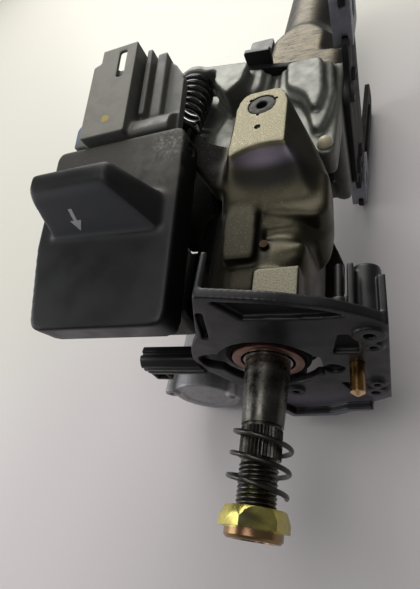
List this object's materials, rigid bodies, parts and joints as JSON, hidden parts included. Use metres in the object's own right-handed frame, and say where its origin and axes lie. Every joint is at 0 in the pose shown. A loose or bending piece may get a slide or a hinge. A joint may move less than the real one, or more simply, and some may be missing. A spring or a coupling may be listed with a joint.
{
  "type": "steering column",
  "caption": "Tilt steering column head: pull-release handle, die-cast pivoting housing, splined steering shaft with nut, switch bracket, support casting, jacket and break-away dash bracket.",
  "frame": {"origin": "middle of the two dash bolts, on the mating face of the break-away capsules", "axes": "+Y down the column away from the steering wheel, +Z along the pivot pins of the tilt head, +X towards the dash along the dash bolts"},
  "size_m": [0.1535, 0.5492, 0.1492],
  "materials": {
    "cast_head": "sand-fine die-cast, olive grey",
    "cast_support": "smooth die-cast, blue grey",
    "cast_lock": "die-cast, lilac grey",
    "jacket_steel": "drawn tube with worn bronze flats",
    "dark_steel": "dark phosphated",
    "shaft_steel": "oily turned steel",
    "pin_steel": "ground",
    "bearing_steel": "polished",
    "race_copper": "heat-tinted",
    "spring_black": "gloss black",
    "spring_steel": "oily wire",
    "zinc_yellow": "yellow zinc",
    "brass": "worn",
    "capsule_alloy": "injection-moulded zinc",
    "nylon": "cream",
    "black_plastic": "satin black",
    "module_plastic": "dusty grey brown",
    "copper_screw": "coppery"
  },
  "bodies": {
    "column": {"outer_jacket": "jacket_steel", "lower_jacket": "dark_steel", "shear_pins": "nylon", "support_casting": "cast_support", "flange_plate": "dark_steel", "wiring_clip": "black_plastic", "dash_bracket": "dark_steel", "breakaway_capsules": "capsule_alloy", "bracket_screws": "dark_steel", "tilt_stop": "nylon", "tilt_spring": "spring_black", "support_bush": "nylon", "lower_bearing": "black_plastic"},
    "tilt_head": {"tilt_housing": "cast_head", "pivot_pins": "pin_steel", "front_bearing_cup": "race_copper", "front_bearing_balls": "bearing_steel", "rear_bearing_cup": "bearing_steel", "rear_bearing_balls": "bearing_steel", "switch_bracket": "black_plastic", "plate_screws": "dark_steel", "harness_rail": "black_plastic", "rail_clip": "pin_steel", "lock_housing": "cast_lock", "lock_screws": "dark_steel", "spring_seat": "pin_steel", "module_housing": "module_plastic", "module_bracket": "dark_steel", "module_screws": "dark_steel", "handle_pin": "pin_steel", "shoe_pin": "pin_steel", "guide_rod": "black_plastic", "horn_spring": "spring_steel", "ground_screw": "copper_screw"},
    "upper_shaft": {"upper_shaft": "shaft_steel", "front_bearing_cone": "bearing_steel", "rear_bearing_cone": "bearing_steel", "wheel_nut": "zinc_yellow", "shaft_spring": "spring_steel", "retaining_ring": "dark_steel"},
    "lower_shaft": {"lower_shaft": "shaft_steel", "centre_ball": "nylon"},
    "pull_handle": {"pull_handle": "black_plastic"},
    "lock_shoe": {"lock_shoe": "dark_steel"},
    "horn_pin": {"horn_pin": "brass"}
  },
  "joints": [
    {"name": "tilt", "type": "hinge", "parent": "column", "child": "tilt_head", "pos_m": [-0.0375, -0.054, 0], "axis": [0, 0, 1], "range_deg": [-15, 3], "deforming": ["tilt_spring"]},
    {"name": "upper_shaft_spin", "type": "hinge", "parent": "tilt_head", "child": "upper_shaft", "pos_m": [-0.0375, -0.054, 0], "axis": [-0.0872, 0.9962, 0], "continuous": true},
    {"name": "lower_shaft_spin", "type": "hinge", "parent": "column", "child": "lower_shaft", "pos_m": [-0.0375, -0.054, 0], "axis": [0, 1, 0], "continuous": true},
    {"name": "handle_pull", "type": "hinge", "parent": "tilt_head", "child": "pull_handle", "pos_m": [-0.06404, -0.08341, 0.05087], "axis": [0.9962, 0.0872, 0], "range_deg": [0, 10], "stiffness_Nm_per_rad": 0.8, "springref_deg": -17.19},
    {"name": "shoe_release", "type": "hinge", "parent": "tilt_head", "child": "lock_shoe", "pos_m": [-0.07509, -0.0603, 0], "axis": [0, 0, 1], "range_deg": [-10, 0]},
    {"name": "horn_press", "type": "slide", "parent": "tilt_head", "child": "horn_pin", "axis": [-0.0872, 0.9962, 0], "range_m": [0, 0.003], "stiffness_N_per_m": 300, "springref_m": -0.003, "deforming": ["horn_spring"]}
  ],
  "couplings": [
    {"joint": "lower_shaft_spin", "follows": "upper_shaft_spin", "ratio": 1},
    {"joint": "shoe_release", "follows": "handle_pull", "ratio": -1}
  ]
}
